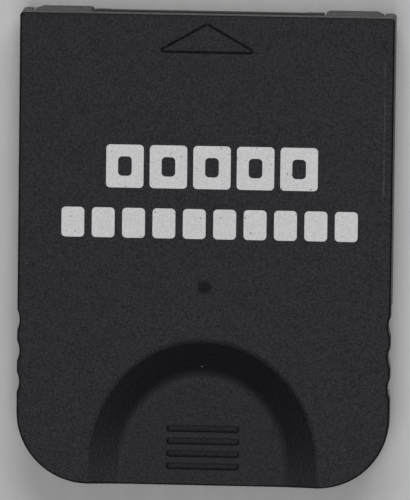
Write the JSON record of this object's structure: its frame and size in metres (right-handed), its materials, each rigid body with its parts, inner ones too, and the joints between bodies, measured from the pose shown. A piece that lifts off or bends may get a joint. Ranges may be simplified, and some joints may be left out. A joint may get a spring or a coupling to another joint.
{
  "type": "console memory card",
  "caption": "Flat black plastic memory card for a game console, with a thumb scoop and finger scallops at one end and an edge connector in a notch at the other.",
  "frame": {"origin": "middle of the rear face, under the middle of the card", "axes": "+X across the card, +Y towards the connector end, +Z out of the front face"},
  "size_m": [0.041, 0.052, 0.007],
  "materials": {
    "shell_plastic": "black moulded plastic with a fine spark-eroded texture",
    "board_laminate": "green solder resist over glass-epoxy laminate",
    "contact_gold": "gold plate with faint wiping marks",
    "chip_epoxy": "moulded black epoxy",
    "lead_tin": "dull tin plate",
    "screw_steel": "zinc plated steel",
    "capacitor_yellow": "moulded yellow case with tinned ends",
    "capacitor_ceramic": "tan ceramic with tinned ends",
    "resistor_body": "black coated film with tinned ends",
    "print_ink": "white pad-printed ink, slightly speckled"
  },
  "bodies": {
    "root": {"bulk_capacitor": "capacitor_yellow", "bypass_capacitor_1": "capacitor_ceramic", "bypass_capacitor_2": "capacitor_ceramic", "bypass_capacitor_3": "capacitor_ceramic", "bypass_capacitor_4": "capacitor_ceramic", "circuit_board": "board_laminate", "closing_screw": "screw_steel", "contact_finger_01": "contact_gold", "contact_finger_02": "contact_gold", "contact_finger_03": "contact_gold", "contact_finger_04": "contact_gold", "contact_finger_05": "contact_gold", "contact_finger_06": "contact_gold", "contact_finger_07": "contact_gold", "contact_finger_08": "contact_gold", "contact_finger_09": "contact_gold", "contact_finger_10": "contact_gold", "contact_finger_11": "contact_gold", "contact_finger_12": "contact_gold", "controller_chip": "chip_epoxy", "controller_chip_leads": "lead_tin", "flash_chip": "chip_epoxy", "flash_chip_leads": "lead_tin", "front_shell": "shell_plastic", "line_resistor_1": "resistor_body", "line_resistor_2": "resistor_body", "line_resistor_3": "resistor_body", "line_resistor_4": "resistor_body", "line_resistor_5": "resistor_body", "line_resistor_6": "resistor_body", "rear_shell": "shell_plastic"}
  },
  "joints": []
}
